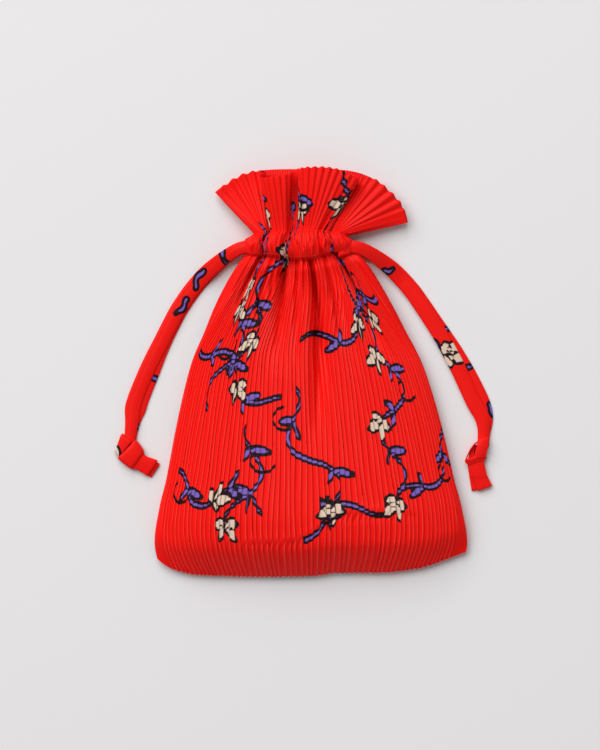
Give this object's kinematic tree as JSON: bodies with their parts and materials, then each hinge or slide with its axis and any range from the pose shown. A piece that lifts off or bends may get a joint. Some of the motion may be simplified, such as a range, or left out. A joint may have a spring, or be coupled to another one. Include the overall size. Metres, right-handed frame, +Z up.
{
  "type": "drawstring pouch",
  "caption": "Flat-lying drawstring pouch of finely pleated red cloth, drawn shut below a flared frill, with knotted flat ribbon cords.",
  "frame": {"origin": "under the middle of the bag's outline, on the surface it lies on", "axes": "+X to the right, +Y from the bottom seam to the mouth, +Z up from the surface"},
  "size_m": [0.2436, 0.261, 0.0248],
  "materials": {
    "pleated_cloth": "fine heat-set pleats, soft satin sheen, printed",
    "ribbon": "flat folded ribbon of the same cloth"
  },
  "bodies": {
    "root": {"pouch_body": "pleated_cloth", "drawcord_front": "ribbon", "drawcord_back": "ribbon", "knot_left": "ribbon", "knot_right": "ribbon"}
  },
  "joints": []
}
